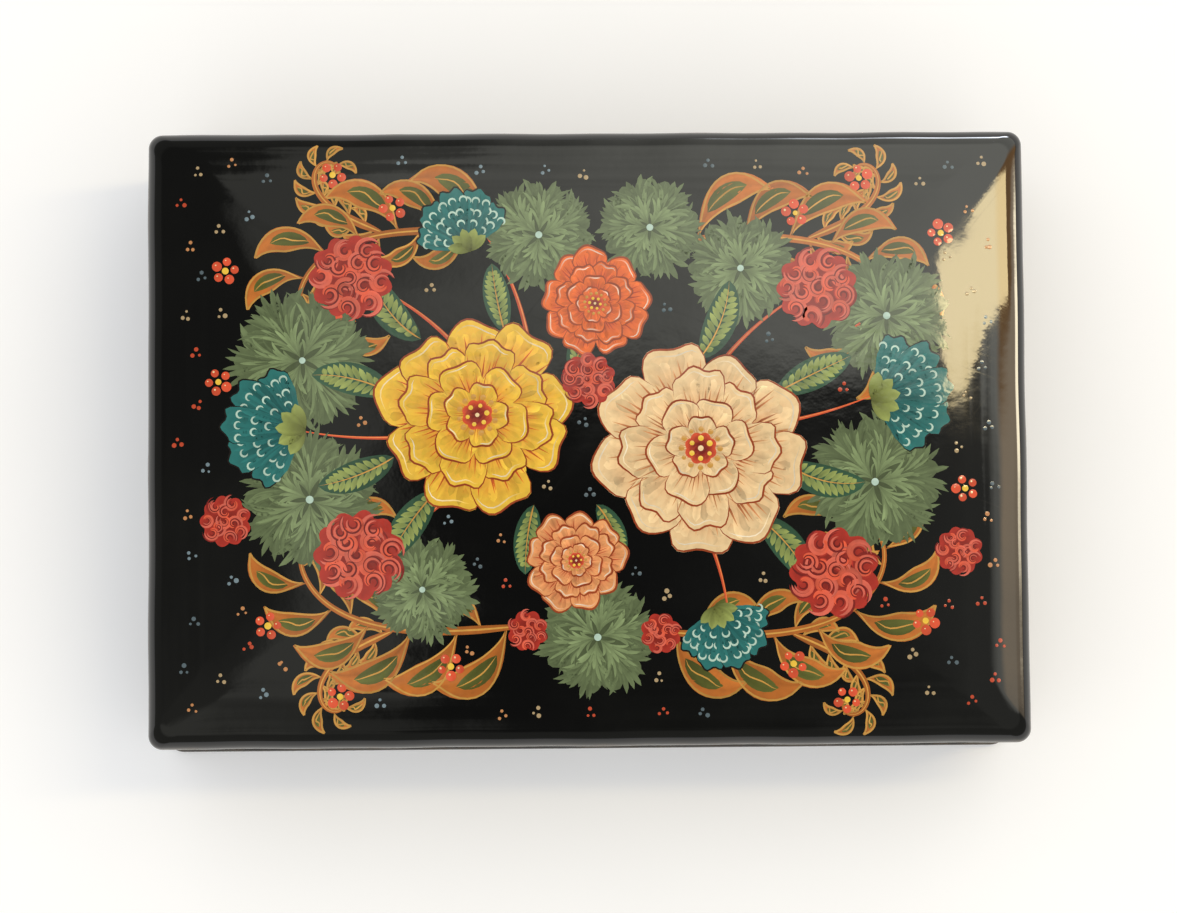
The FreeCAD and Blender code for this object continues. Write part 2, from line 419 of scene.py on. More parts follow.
# %% Lacquer
def lacquer(name, red_middle=(0, 0, -9), red_half=(0, 0, 0), reach=0.0002):
    """Black lacquer, with red inside the block of a middle and a half size, worn within a reach of
    the edge."""
    material, tree, surface, where = new_material(name)
    dust = place(tree, "dust", where)
    hairs = place(tree, "hairlines", where, {"Amount": 0.15})["Hairlines"]
    wear = place(tree, "edge_wear", where, {"Reach": reach})["Wear"]
    seam = place(tree, "lid_seam", where)["Seam"]
    rubbed = largest(tree, wear, times(tree, seam, 0.6))
    block = {"Middle": red_middle, "Half": red_half}
    inside = place(tree, "brushed_inside", where, block)["Inside"]
    black = mix(tree, dust["Haze"], (0.0006, 0.0006, 0.0008, 1), (0.0024, 0.0024, 0.0021, 1))
    black = mix(tree, times(tree, rubbed, 0.8), black, (0.07, 0.05, 0.028, 1))
    streaks = noise(tree, stretched(tree, where, (30.0, 900.0, 900.0)), 1.0, 3.0)
    red = mix(tree, streaks, (0.3, 0.012, 0.008, 1), (0.46, 0.028, 0.016, 1))
    colour = mix(tree, inside, black, red)
    colour = mix(tree, times(tree, dust["Specks"], 0.5), colour, (0.16, 0.16, 0.15, 1))
    smears = noise(tree, stretched(tree, where, (24.0, 60.0, 130.0)), 1.0, 4.0, distortion=0.6)
    rough = 0.03
    for mask, dulling in ((dust["Haze"], 0.035), (hairs, 0.25), (inside, 0.1), (rubbed, 0.22)):
        rough = plus(tree, rough, times(tree, mask, dulling))
    rough = plus(tree, rough, ramp(tree, smears, 0.45, 0.75, 0.0, 0.05))
    waves = place(tree, "rubbed_waves", where, {"Brush": 0.15})["Height"]
    relief = minus(tree, waves, times(tree, seam, 2.5))
    surface.inputs["IOR"].default_value = 1.5
    dress(tree, surface, colour, rough, relief, 0.00004)
    return material


def finish(nodes, material):
    """Gives solids a finish in their own material slots."""
    for name in nodes:
        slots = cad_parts[name].material_slots
        for slot in slots:
            slot.material = material
        print(name, "takes", material.name, "in", len(slots), "slots")


black_gloss = lacquer("black_gloss")
finish(["body_wall", *(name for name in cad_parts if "_knuckle_" in name)], black_gloss)
bottom_lacquer = lacquer("bottom_lacquer", (0, 0, 0.004), (0.0585, 0.0395, 0.0016), 0.0007)
finish(["bottom_board"], bottom_lacquer)
finish(["inner_lip"], lacquer("lip_lacquer", (0, 0, 0.013), (0.0584, 0.0394, 0.012)))
finish(["lid_rim"], lacquer("rim_lacquer", (0, 0, 0.023), (0.0592, 0.0402, 0.004)))

# %% [markdown]
# ## Hinge wire and its stoppers
# The knuckles turn on one drawn steel wire, and a plug of black mastic hides each end. The wire
# shows in four hair-wide gaps, so the drawing marks along it are all the detail it needs.

# %% Wire and mastic
wire, tree, surface, where = new_material("drawn_wire")
drawn = noise(tree, stretched(tree, where, (60.0, 9000.0, 9000.0)), 1.0, 3.0)
steel = mix(tree, drawn, (0.46, 0.45, 0.43, 1), (0.64, 0.63, 0.6, 1))
surface.inputs["Metallic"].default_value = 1.0
dress(tree, surface, steel, ramp(tree, drawn, 0.3, 0.7, 0.22, 0.42))
finish(["hinge_pin"], wire)

mastic, tree, surface, where = new_material("black_mastic")
crumb = noise(tree, where, 2500.0, 3.0)
pitch = mix(tree, crumb, (0.008, 0.008, 0.008, 1), (0.03, 0.027, 0.024, 1))
dress(tree, surface, pitch, ramp(tree, crumb, 0.3, 0.7, 0.35, 0.6), crumb, 0.00003)
finish(["pin_plug_left", "pin_plug_right"], mastic)

# %% [markdown]
# ## The lid as a surface
# The height of the cushion depends only on how far a point is inside the plan's outline: a rounded
# edge, then a slope that eases from 16 to 2 degrees, then a crown that eases to level. At the
# corners the outline is an arc that grows with the inset, which is what softens the hips, so there
# the inset is the larger root of a quadratic.

# %% Inset and height
# The corners' radius at the edge, in mm, and how much it grows for each mm inwards
CORNER, SOFTENING = 2.0, 0.24
# The board's base, its upright edge and the round on it, and how wide border and crown are, in mm
BASE, EDGE, ROUND, BORDER, CROWN = 25.6, 1.0, 3.4, 9.5, 15.0
SWEEP, SLOPE, FIELD_SLOPE = np.radians((74, 16, 2))
STEEP, FLAT = np.tan(SLOPE), np.tan(FIELD_SLOPE)
SHOULDER = ROUND * (1 - np.cos(SWEEP))


def inset(x, y):
    """How far inside the outline a plan point is, in mm: the lesser distance to a side, and by a
    corner the inset whose arc, of the radius that outline gives it, runs through the point."""
    a, b = LENGTH / 2 - np.abs(x), WIDTH / 2 - np.abs(y)
    straight = np.minimum(a, b)
    k = 1 + SOFTENING
    p = 2 * k**2 - SOFTENING**2
    q = 2 * k * (2 * CORNER - a - b) - 2 * CORNER * SOFTENING
    c = (CORNER - a) ** 2 + (CORNER - b) ** 2 - CORNER**2
    arc = (-q + np.sqrt(np.maximum(q**2 - 4 * p * c, 0))) / (2 * p)
    by_corner = np.maximum(a, b) < straight + CORNER + SOFTENING * straight
    return np.maximum(np.where(by_corner, arc, straight), 0)


def rise(d):
    """Height of the lid's top at an inset, in mm: a round at the edge, then two stretches whose
    slope changes evenly, so each is a parabola."""
    edge = EDGE + np.sqrt(np.maximum(ROUND**2 - (ROUND - np.minimum(d, SHOULDER)) ** 2, 0))
    run = np.clip(d - SHOULDER, 0, BORDER - SHOULDER)
    border = run * STEEP - (STEEP - FLAT) * run**2 / (2 * (BORDER - SHOULDER))
    run = np.clip(d - BORDER, 0, CROWN)
    return BASE + edge + border + run * FLAT - FLAT * run**2 / (2 * CROWN)


middle, shoulder = (round(float(rise(d)), 3) for d in (40.0, SHOULDER))
print("lid top at the middle", middle, "mm, at the shoulder", shoulder, "mm")

# %% [markdown]
# ## The lid board
# A mirror shows every facet, so the pressed board gets a finer skin than its solid has, with
# corners filed a little sharper, as in the photograph. One closed profile, from the middle of the
# top over the edge to the middle of the dished underside, is carried round the outline.


# %% Rounded rectangles and rings
def aimed(x, y, reach, angle):
    """The point at a reach and an angle from a place."""
    return np.stack([x + reach * np.cos(angle), y + reach * np.sin(angle)], -1)


def rounded(length, width, radius):
    """Points round a plan for each length, width and corner radius: four arcs joined by straight
    sides."""
    quarter = np.linspace(0, np.pi / 2, 15)
    corners = []
    for turn, (sx, sy) in enumerate(((1, 1), (-1, 1), (-1, -1), (1, -1))):
        cx, cy = sx * (length / 2 - radius), sy * (width / 2 - radius)
        angle = quarter + turn * np.pi / 2
        corners.append(aimed(cx[:, None], cy[:, None], radius[:, None], angle))
    parts = []
    for corner, following, steps in zip(corners, corners[1:] + corners[:1], (64, 44, 64, 44)):
        share = np.linspace(0, 1, steps + 1)[None, 1:-1, None]
        parts += [corner, corner[:, -1:] * (1 - share) + following[:, :1] * share]
    return np.concatenate(parts, 1)


def outline(d):
    """The lid board's plan at each inset, its corners rounder inwards."""
    return rounded(LENGTH - 2 * d, WIDTH - 2 * d, CORNER + SOFTENING * d)


def handmade(points):
    """The outline of a board sawn and filed by hand: up to 0.12 mm is gone here and there."""
    x, y = points[..., 0], points[..., 1]
    gone = 0.06 + 0.03 * np.sin(x / 5.3 + y / 3.1) + 0.03 * np.sin(x / 2.3 - y / 4.7 + 1.0)
    return points * (1 - gone[..., None] / np.array([LENGTH / 2, WIDTH / 2]))


def raised(rings, heights):
    """The points of plan rings, each ring at its height."""
    z = np.broadcast_to(heights[:, None, None], rings.shape[:2] + (1,))
    return np.concatenate([rings, z], -1).reshape(-1, 3)


def ring_quads(number):
    """Faces between neighbouring rings of point numbers, each ring closed on itself."""
    beside = np.roll(number, -1, 1)
    return np.stack([number[:-1], number[1:], beside[1:], beside[:-1]], -1).reshape(-1, 4)


print("ring helpers ready")

# %% Skin of the lid board
BEVEL, LEDGE, DISH = 0.5, 5.25, 2.0
crown = np.linspace(BORDER + CROWN, BORDER, 12)
border = np.linspace(BORDER, SHOULDER, 16)
edge = ROUND * (1 - np.cos(np.linspace(SWEEP, 0, 15)))
top_inset = np.concatenate([crown, border[1:], edge[1:]])
bevel = np.radians(np.linspace(0, 90, 5))
under = [
    (0.0, BASE + 0.75),
    *zip(BEVEL - BEVEL * np.cos(bevel), BASE + BEVEL - BEVEL * np.sin(bevel)),
    *((d, BASE) for d in (2.0, 3.6, LEDGE)),
    (7.4, BASE + DISH / 2),
    (BORDER, BASE + DISH),
]
profile = np.concatenate([np.stack([top_inset, rise(top_inset)], -1), np.array(under)])
rings = handmade(outline(profile[:, 0]))
shrinking = np.linspace(0, 1, 9)[1:-1, None, None]
rings = np.concatenate([rings[:1] * shrinking, rings, rings[-1:] * shrinking[::-1]])
top, bottom = profile[0, 1], profile[-1, 1]
level = np.ones(len(shrinking))
points = raised(rings, np.concatenate([level * top, profile[:, 1], level * bottom]))
points = np.concatenate([points, [[0, 0, top], [0, 0, bottom]]])
number = np.arange(len(points) - 2).reshape(len(rings), -1)
beside = np.roll(number, -1, 1)
caps = [(len(points) - 2, a, b) for a, b in zip(number[0], beside[0])]
caps += [(len(points) - 1, b, a) for a, b in zip(number[-1], beside[-1])]
mesh = smooth_mesh("cushion_board", points, ring_quads(number).tolist() + caps)
cushion = put("cushion_board", mesh)
mesh.materials.append(lacquer("lid_lacquer", (0, 0, 0.026), (0.0592, 0.0402, 0.0022), 0.00035))
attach(cushion, "lid")
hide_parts("lid_board")
print(cushion.name, "faces", len(mesh.polygons), "rings", len(rings))

# %% [markdown]
# ## Lacquer in the corners
# Where a ring meets a board, the lacquer pools to a small hollow bead. Its section has two straight
# legs, on the ring and the board, and a hollow quarter circle between them, and it is carried round
# the ring's outline.

# %% Beads
WALL_PLAN = (LENGTH - 2 * OVERHANG, WIDTH - 2 * OVERHANG, 2.2)
INNER_PLAN = (114.8, 76.8, 1.1)
FLOOR_TOP = 2.8


def bead(name, plan, height, size, outward, upward, body, material):
    """A closed ring of a section scaled to a size: the corner itself, and (1 - sin, 1 - cos) of a
    quarter turn. Outward and upward, 1 or -1, are its directions from the corner."""
    turn = np.linspace(0, np.pi / 2, 7)
    away = outward * np.append(size * (1 - np.sin(turn)), 0.0)
    up = upward * np.append(size * (1 - np.cos(turn)), 0.0)
    length, width, radius = plan
    rings = rounded(length + 2 * away, width + 2 * away, np.maximum(radius + away, 0.1))
    number = np.arange(rings[..., 0].size).reshape(len(rings), -1)
    quads = ring_quads(np.concatenate([number, number[:1]]))
    if outward * upward > 0:
        quads = quads[:, ::-1]
    made = put(name, smooth_mesh(name, raised(rings, height + up), quads.tolist()))
    made.data.materials.append(material)
    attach(made, body)
    print(name, "faces", len(quads))


red_gloss = lacquer("red_gloss", (0, 0, 0.013), (0.06, 0.05, 0.013))
bead("bead_wall_foot", WALL_PLAN, FLOOR_TOP, 0.5, 1, 1, "body", black_gloss)
bead("bead_lid_rim", WALL_PLAN, BASE, 0.5, 1, -1, "lid", black_gloss)
bead("bead_inside", INNER_PLAN, FLOOR_TOP, 0.9, -1, 1, "body", red_gloss)

# %% [markdown]
# ## Brush strokes
# Each stroke is a small grid: one parameter runs along it and the other across it. Strokes go into
# a pot per colour family, and every new one lies a hair above what it covers, as paint does. The
# colour sits in an attribute on the points, so it can change within a stroke.


# %% Paints and pots
def tone(steps):
    """A colour on a paint chart's steps of 0 to 255, as light."""
    step = np.array(steps) / 255
    return np.where(step <= 0.04045, step / 12.92, ((step + 0.055) / 1.055) ** 2.4)


CHART = {
    "cream": (238, 208, 158), "peach": (234, 164, 106), "yellow": (238, 196, 70),
    "gold": (202, 150, 72), "orange": (232, 112, 46), "coral": (222, 88, 56), "red": (186, 56, 44),
    "rose": (206, 104, 88), "wine": (112, 30, 28), "rust": (150, 66, 34), "teal": (46, 116, 112),
    "deep_teal": (20, 62, 66), "mist": (182, 208, 192), "fir": (116, 132, 92),
    "deep_fir": (46, 76, 56), "moss": (154, 166, 92), "olive": (82, 86, 38), "ochre": (166, 96, 40),
    "white": (242, 236, 218), "steel": (112, 130, 138), "ink": (24, 20, 18),
}
PAINT = {name: tone(steps) for name, steps in CHART.items()}
STEP, FIRST, CELL = 0.0009, 0.008, 0.8
hand = np.random.default_rng(11)
heap = np.full((180, 130), FIRST)
pots = {}
FINE, PALE, GREEN = "fine_lines", "pale_paint", "green_paint"
RED, EARTH = "red_paint", "earth_paint"


def lay(pot, x, y, tint, crown=0.0):
    """Lays a batch of grids (batch, along, across), in mm on the plan. Each lies a step above the
    highest paint that was in its cells before the batch, and a tenth of a step above the grid
    before it. A crown is how high the grids bulge."""
    count, along, across = x.shape
    domed = (1 - np.linspace(-1, 1, along) ** 4)[:, None] * (1 - np.linspace(-1, 1, across) ** 2)
    near = np.array([[-0.5, -0.5], [-0.5, 0.5], [0.5, -0.5], [0.5, 0.5]])
    cells = []
    for axis, value in enumerate((x, y)):
        cell = value.reshape(count, -1, 1) / CELL + near[:, axis] + heap.shape[axis] // 2
        cells.append(cell.astype(int).reshape(count, -1))
    columns, rows = cells
    lifts = heap[columns, rows].max(1) + STEP * (1 + 0.1 * np.arange(count))
    np.maximum.at(heap, (columns, rows), np.broadcast_to(lifts[:, None], columns.shape))
    z = rise(inset(x, y)) + lifts[:, None, None] + crown * domed
    tint = np.broadcast_to(tint, x.shape + (3,)).copy()
    pots.setdefault(pot, []).append((np.stack([x, y, z], -1), tint))


def report(what):
    """Prints what was laid and how high the paint stands on the lid."""
    print(what, "laid, the paint is", round(float(heap.max()), 3), "mm high")


print("paints", len(PAINT))


# %% Ribbons
def even(value, count):
    """A number, or one per stroke, as a column."""
    return np.broadcast_to(np.asarray(value, float), (count,))[:, None]


def curve(start, first, second, end, steps):
    """Points on cubic curves: the weights (1-t)^3, 3t(1-t)^2, 3t^2(1-t) and t^3 of four points."""
    t = np.linspace(0, 1, steps)[None, :, None]
    p = [np.atleast_2d(np.asarray(q, float))[:, None, :] for q in (start, first, second, end)]
    inner = 3 * t * (1 - t) ** 2 * p[1] + 3 * t**2 * (1 - t) * p[2]
    return (1 - t) ** 3 * p[0] + inner + t**3 * p[3]


def bowed(start, end, steps, near=0.3, far=0.7, off=0.0):
    """Curves whose inner points lie at the shares near and far of the way, moved aside by off."""
    first, second = (start * (1 - share) + end * share + off for share in (near, far))
    return curve(start, first, second, end, steps)


def stroke(pot, line, half, tint, tip=None, shape="lens", across=3):
    """Ribbons along lines (batch, along, 2). The half width grows and fades along them: as a lens,
    a tail that thins out, a drop that is full near its end, a comma with a point, or even with
    round ends. The colour runs from tint to tip, with a streak for each column of points."""
    count, along = line.shape[:2]
    t = np.linspace(0, 1, along)
    width = {
        "lens": np.sin(np.pi * t) ** 0.6,
        "tail": np.minimum(1, np.sqrt(t / 0.12)) * (1 - t) ** 0.7,
        "drop": np.sin(np.pi * t**1.9) ** 0.7,
        "comma": np.sin(np.pi * t**1.25) ** 1.15,
        "even": np.sqrt(1 - np.abs(2 * t - 1) ** 8),
    }[shape]
    ahead = np.gradient(line, axis=1)
    ahead /= np.linalg.norm(ahead, axis=2, keepdims=True) + 1e-9
    reach = (even(half, count) * np.maximum(width, 0.03))[:, :, None]
    side = np.linspace(-1, 1, across)
    x = line[:, :, 0, None] - ahead[:, :, 1, None] * reach * side
    y = line[:, :, 1, None] + ahead[:, :, 0, None] * reach * side
    start, end = (np.asarray(c)[..., None, None, :] for c in (tint, tint if tip is None else tip))
    t = t[:, None, None]
    streak = 1 + 0.09 * hand.standard_normal((count, 1, across, 1))
    streak = streak + 0.06 * hand.standard_normal((count, 1, 1, 1))
    lay(pot, x, y, (start * (1 - t) + end * t) * streak)
    return x, y


print("ribbons ready")


# %% Petals, dots and rounds
def petal_edge(s):
    """How long a petal's ray is at a share of its spread: far less at the sides."""
    return 1 - 0.07 * s**2 - 0.5 * np.abs(s) ** 5


def petal(pot, x, y, aim, spread, reach, base, rim, waves, root=0.05):
    """A petal whose rays leave one root within the spread, each petal_edge long, with a small
    frill. The colour runs from base to rim, and streaks follow the rays. Returns the rim line."""
    s, u = np.linspace(-1, 1, 17)[None, None, :], np.linspace(root, 1, 10)[None, :, None]
    frill = 0.035 * u**2 * np.sin(waves * np.pi * s + hand.uniform(0, 6))
    turn = spread * s * (0.62 + 0.38 * np.sin(np.pi * u * 0.6))
    rays = aimed(x, y, reach * u * (petal_edge(s) + frill), aim + turn)
    share = np.clip(u**1.2 + 0.25 * hand.standard_normal(17) * (1 - u), 0, 1)[..., None]
    lay(pot, rays[..., 0], rays[..., 1], (1 - share) * base + share * rim)
    lean = spread * 0.8 * np.linspace(-1, 1, 9)
    end_aim = aim + lean + hand.normal(0, 0.02, 9)
    start = aimed(x, y, reach * (root + hand.uniform(0.1, 0.25, 9)), aim + lean * 0.8)
    end = aimed(x, y, reach * petal_edge(lean / spread) * hand.uniform(0.86, 0.95, 9), end_aim)
    tones = rim * hand.uniform(0.8, 1.1, (9, 1))
    half = reach * spread * 0.1 * hand.uniform(0.6, 1.2, 9)
    stroke(pot, bowed(start, end, 8), half, (base + tones) / 2, tones, shape="drop")
    return rays[:, -1, 1:-1]


def disc(steps):
    """A square grid squeezed into a disc: x to x sqrt(1 - y^2/2), and y likewise."""
    a, b = np.meshgrid(np.linspace(-1, 1, steps), np.linspace(-1, 1, steps), indexing="ij")
    return a * np.sqrt(1 - b**2 / 2), b * np.sqrt(1 - a**2 / 2)


def dots(pot, x, y, size, tint):
    """Round touches that bulge a little."""
    x, y = (np.atleast_1d(value)[:, None, None] for value in (x, y))
    size = even(size, len(x))[:, :, None] * hand.uniform(0.8, 1.15, (len(x), 1, 1))
    u, v = disc(5)
    lay(pot, x + size * u, y + size * v, np.asarray(tint)[..., None, None, :], crown=0.008)


def scallop(pot, x, y, size, base, rim, lobes, depth=0.07):
    """A filled round whose outline swells and shrinks by the depth, in lobes."""
    u, v = disc(19)
    out = np.hypot(u, v)
    swell = 2 * depth * np.abs(np.sin(lobes * np.arctan2(v, u) / 2)) - depth
    long = size * (1 + swell * out**3)
    share = np.clip(out**2 + 0.08 * hand.standard_normal(out.shape), 0, 1)[None, :, :, None]
    lay(pot, x + (u * long)[None], y + (v * long)[None], (1 - share) * base + share * rim)


print("brushes:", ", ".join(f.__name__ for f in (stroke, petal, dots, scallop)))

# %% [markdown]
# ## Flowers of the bouquet
# The bouquet, in the folk manner, has large layered blossoms, curly red rosettes, teal bells,
# feathery green sprays and ochre scrolls with gold contours. Each kind is a function of its place
# and size.

# %% Rosettes and large blossoms
# The windings of a curl: radius as a share of the rosette, paint at the start and end, and width
CURL = (
    (0.36, "wine", "red", 0.26), (0.33, "rose", "coral", 0.32), (0.25, "wine", "wine", 0.12),
    (0.2, "rose", "coral", 0.18), (0.12, "wine", "wine", 0.11),
)
# The rings of a blossom: length as a share of it, number of petals, spread, and where rays start
RINGS = ((1.0, 9, 0.5, 0.5), (0.76, 8, 0.54, 0.4), (0.53, 6, 0.66, 0.35), (0.33, 5, 0.78, 0.05))
HEART = ((0.19, 12, "gold"), (0.1, 6, "yellow"), (0.0, 1, "cream"))


def spaced(count):
    """Angles spaced evenly round a turn."""
    return np.arange(count) * 2 * np.pi / count


def rosette(x, y, size, curls):
    """A red tuft of curls: a lobed ground, then rings of winding arcs, dark ones first and pale
    ones inside."""
    red = PAINT["red"]
    scallop(RED, x, y, size, red * 0.45, red * 0.9, curls + 2, depth=0.09)
    rings = [(0.76, curls), (0.4, max(int(curls * 0.5), 3)), (0.05, 1)]
    around = np.concatenate(
        [spaced(n) + hand.uniform(0, 6) + hand.normal(0, 0.08, n) for _, n in rings]
    )
    away = np.concatenate([share * hand.uniform(0.9, 1.06, n) for share, n in rings]) * size
    cx, cy = aimed(x, y, away, around).T[:, :, None]
    start = around + hand.uniform(-1.2, 1.2, len(around))
    t = np.linspace(0, 1, 19)[None, :]
    for share, tint, tip, wide in CURL:
        reach = size * share * (1 - 0.55 * t) * hand.uniform(0.85, 1.15, (len(around), 1))
        line = aimed(cx, cy, reach, start[:, None] + 5.4 * t)
        stroke(RED, line, wide * size / 5, PAINT[tint], PAINT[tip])


def blossom(x, y, size, deep, pale, turn):
    """Rings of petals, each ring smaller and turned on, with rust hatching, contours and a dotted
    heart."""
    for order, (share, count, spread, root) in enumerate(RINGS):
        aims = turn + order * 0.35 + spaced(count) + hand.normal(0, 0.05, count)
        aims = np.concatenate([aims[::2], aims[1::2]])
        for aim, r in zip(aims, size * share * hand.uniform(0.93, 1.07, count)):
            pale_now, waves = pale * hand.uniform(0.92, 1.05), 2 + order % 2
            rim = petal(PALE, x, y, aim, spread, r, deep, pale_now, waves, root)
            lines = aim + spread * np.linspace(-0.75, 0.75, 9) + hand.normal(0, 0.03, 9)
            start = aimed(x, y, r * (root + 0.08), lines)
            end = aimed(x, y, r * (root + (1 - root) * hand.uniform(0.35, 0.8, 9)), lines)
            hatching = bowed(start, end, 5, 0.33, 0.67)
            stroke(FINE, hatching, 0.014 * r, PAINT["rust"], deep, shape="tail")
            inwards = (x, y) - rim
            stroke(FINE, rim + inwards * 0.01, 0.15, PAINT["rust"])
            light = (rim + inwards * 0.075)[:, 2 + order : -3]
            stroke(FINE, light, 0.1, PAINT["white"] * 0.9, pale)
    scallop(RED, x, y, size * 0.15, PAINT["wine"], PAINT["coral"], 8)
    for ring, count, tint in HEART:
        spots = aimed(x, y, size * ring, spaced(count) + turn).T
        dots(FINE, *spots, size * 0.026, PAINT[tint])


print("rosettes and large blossoms ready")


# %% Bells, sprays and leaves
# The fans of a spray: length as a share of it, root and tip shade, width, and number of strokes
PLUMES = (
    (1.0, 0.5, 0.78, 0.42, 66), (0.95, 0.85, 0.62, 0.3, 60), (0.86, 0.42, 0.66, 0.2, 60),
    (0.8, 0.75, 1.1, 0.24, 54), (0.62, 0.5, 0.6, 0.15, 48), (0.56, 0.85, 1.35, 0.24, 36),
    (0.36, 0.65, 1.2, 0.18, 30),
)
FANS = 6


def bell(x, y, size, aim):
    """A teal bell seen from the side: petals about one aim, with small pale arches on them and a
    green cup."""
    deep, teal = PAINT["deep_teal"], PAINT["teal"]
    for off, share in ((-0.95, 0.84), (0.95, 0.84), (-0.48, 0.97), (0.48, 0.97), (0.0, 1.0)):
        toward = aim + off
        rim = petal(GREEN, x, y, toward, 0.38, size * share, deep, teal, 3)
        stroke(FINE, rim, 0.13, PAINT["ink"])
        part = np.array([0.42, 0.6, 0.6, 0.8, 0.8, 0.8])
        lean = np.array([0.0, -0.11, 0.12, -0.21, 0.01, 0.2])
        lean = toward + lean + hand.normal(0, 0.02, 6)
        bend = (toward + hand.normal(0, 0.3, (6, 1))) + np.linspace(-2.2, 2.2, 9)[None, :]
        cx, cy = aimed(x, y, size * share * part, lean).T[:, :, None]
        stroke(FINE, aimed(cx, cy, 0.52, bend), 0.15, PAINT["mist"])
    lean = aim + np.array([-1.2, -0.6, 0.0, 0.6, 1.2])
    cup = bowed(aimed(x, y, -0.5, lean), aimed(x, y, size * 0.34, lean), 8, 0.4)
    stroke(GREEN, cup, size * 0.09, PAINT["olive"], PAINT["moss"], across=5)


def spray(x, y, size, aim):
    """Feathery green: fans of strokes round one root. A stroke starts along its fan's axis and
    bends away from it, further the further off it ends, so neighbours part like plumes."""
    fir = PAINT["fir"]
    scallop(GREEN, x, y, size * 0.8, fir * 0.42, fir * 0.6, 2 * FANS + 1, depth=0.12)
    for share, root, tip, wide, count in PLUMES:
        a = 2 * np.pi * (np.arange(count) + hand.uniform(0, 1)) / count
        a = a + hand.normal(0, 0.04, count)
        axis = 2 * np.pi / FANS * np.round(a * FANS / (2 * np.pi))
        off, turn = a - axis, aim + axis
        far = size * share * hand.uniform(0.78, 1.08, count)
        far = far * (1 - 0.1 * np.abs(off) * FANS / np.pi)
        bends = ((0.1, 0.0), (0.45, 0.3), (0.82, 0.8), (1.0, 1.3))
        line = curve(*(aimed(x, y, far * out, turn + off * bend) for out, bend in bends), 9)
        shade = fir * hand.uniform(0.88, 1.12, (count, 1))
        half = wide * hand.uniform(0.8, 1.2, count)
        stroke(GREEN, line, half, root * shade, tip * shade, shape="drop")
    dots(FINE, x, y, 0.5, PAINT["mist"])


def leaf(x, y, size, aim, bend):
    """A pointed leaf: a deep ground, pale strokes from the rib to both sides, and a gold rib."""
    deep, pale = PAINT["deep_fir"], PAINT["moss"]
    off = np.array([-np.sin(aim), np.cos(aim)]) * bend * size
    middle = bowed(np.array([x, y], float), aimed(x, y, size, aim), 15, off=off)
    stroke(GREEN, middle, size * 0.19, deep, deep * 1.4, across=7)
    at = np.linspace(1.5, 11.5, 10)
    start = np.stack([np.interp(at, np.arange(15), middle[0, :, c]) for c in (0, 1)], -1)
    share = np.linspace(0.3, 0.8, 10)[:, None]
    for side in (-1, 1):
        long = size * 0.21 * np.sin(np.pi * (at + 1) / 14.5)
        veins = bowed(start, aimed(*start.T, long, aim + side * 0.85), 5, 0.4)
        stroke(GREEN, veins, size * 0.034, deep * (1 - share) + pale * share, pale)
    stroke(FINE, middle, 0.13, PAINT["gold"], shape="tail")


print("bells, sprays and leaves ready")

# %% Scrolls, stems and berries
COILS, SCROLL_STEPS = 5.2, 60


def winding(x, y, size, aim, turn):
    """A line that winds into a spiral, and its headings: they turn ever faster, as the cube of the
    way, and the steps shorten."""
    t = np.linspace(0, 1, SCROLL_STEPS)
    heading = aim + turn * (0.35 * t + COILS * t**3)
    step = size / (SCROLL_STEPS - 1) * (1 - 0.6 * t)
    line = [x + np.cumsum(step * np.cos(heading)), y + np.cumsum(step * np.sin(heading))]
    return np.stack(line, -1), heading


def scroll(x, y, size, aim, turn):
    """An ochre scroll: a spiral stem with hooked comma leaves on both sides, each with a pool of
    olive and wavy gold lines. A large scroll sends a small one off to its outer side."""
    ochre, olive, gold = PAINT["ochre"], PAINT["olive"], PAINT["gold"]
    line, heading = winding(x, y, size, aim, turn)
    if size > 50:
        berries(*scroll(*line[17], size * 0.42, heading[17] - turn * 0.5, -turn))
    at = np.arange(3, 52, 3)
    side = turn * np.where(np.arange(len(at)) % 2, 1, -1)
    long = size * np.where(side == -turn, 0.17, 0.12) * (1 - 0.55 * at / SCROLL_STEPS)
    long = long * hand.uniform(0.85, 1.1, len(at))
    root = line[at]
    hook = [root]
    for share, bend in ((0.5, 1.25), (0.95, 0.97), (1.15, 0.52)):
        hook.append(aimed(*root.T, long * share, heading[at] + side * bend))
    path = curve(*hook, 17)
    half, deep, light = long * 0.2, ochre * 0.9, ochre * 1.4
    px, py = stroke(EARTH, path, half, deep, light, shape="comma", across=7)
    inner = path[:, 4:13]
    stroke(EARTH, inner, long * 0.11, olive * 0.8, olive * 1.4, across=5)
    rim = np.stack([np.concatenate([p[:, :, 0], p[:, ::-1, -1]], 1) for p in (px, py)], -1)
    shake = 0.94 - 0.05 * np.sin(np.linspace(0, 20, 34) + at[:, None])[..., None]
    middle = path[:, 8:9]
    stroke(FINE, middle + (rim - middle) * shake, 0.14, gold, gold * 0.8, shape="even")
    wave = 0.2 * np.sin(np.linspace(0, 8, 9) + at[:, None])[..., None]
    stroke(FINE, inner + wave, 0.11, gold)
    stroke(EARTH, line[None], 0.66, ochre, ochre * 1.3, shape="tail", across=5)
    stroke(FINE, line[None, :52] + 0.02, 0.15, gold * 1.1, shape="tail")
    return line[-1]


def stem(start, end, bend):
    """A stem that bows to one side by a share of its length, with a pale line along it."""
    start, end = np.array(start, float), np.array(end, float)
    off = np.array([-(end - start)[1], (end - start)[0]]) * bend
    line, half = bowed(start, end, 40, 0.34, 0.66, off), 0.42
    stroke(RED, line, half, PAINT["rust"], PAINT["coral"], shape="tail")
    stroke(FINE, line + 0.08, half * 0.3, PAINT["peach"], PAINT["orange"], shape="tail")


